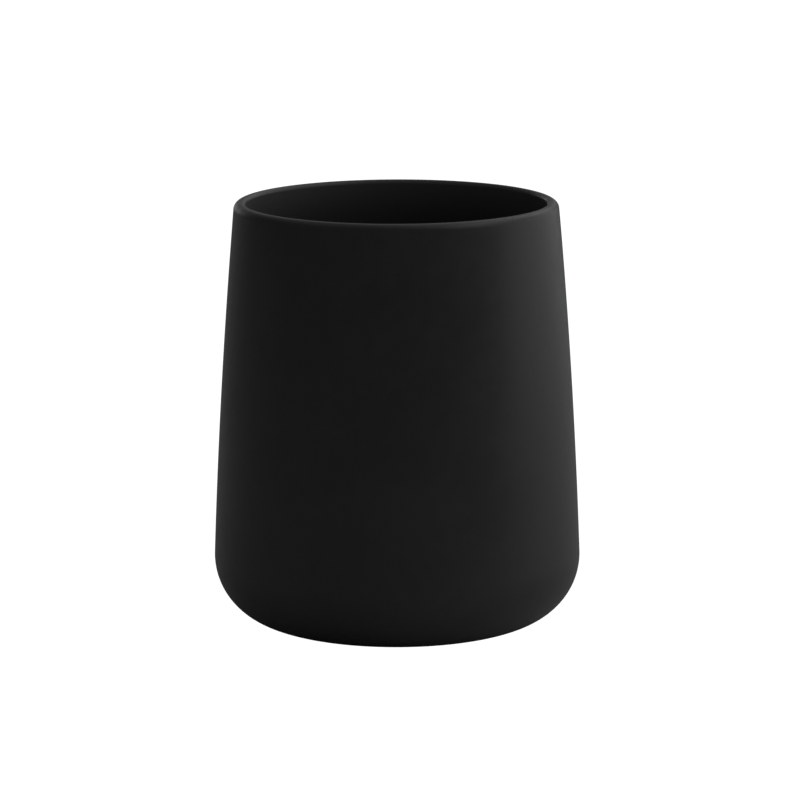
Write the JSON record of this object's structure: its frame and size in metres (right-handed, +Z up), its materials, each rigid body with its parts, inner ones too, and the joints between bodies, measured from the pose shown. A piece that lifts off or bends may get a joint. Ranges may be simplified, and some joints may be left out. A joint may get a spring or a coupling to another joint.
{
  "type": "candle jar",
  "caption": "Empty open candle jar in satin-matt black glazed ceramic, with sides that close in towards a rounded rim, a full rounded foot and non-slip pads under it.",
  "frame": {"origin": "on the jar's axis, on the surface that its rubber pads stand on", "axes": "+Z up along the jar's axis towards the open mouth; +X and +Y pass midway between neighbouring pads"},
  "size_m": [0.0856, 0.0856, 0.1],
  "materials": {
    "black_glaze": "satin-matt black glaze over fired clay, worn to bare clay only on the foot ring",
    "pad_rubber": "matt moulded rubber"
  },
  "bodies": {
    "root": {"jar_body": "black_glaze", "bumper_pad_1": "pad_rubber", "bumper_pad_2": "pad_rubber", "bumper_pad_3": "pad_rubber", "bumper_pad_4": "pad_rubber"}
  },
  "joints": []
}
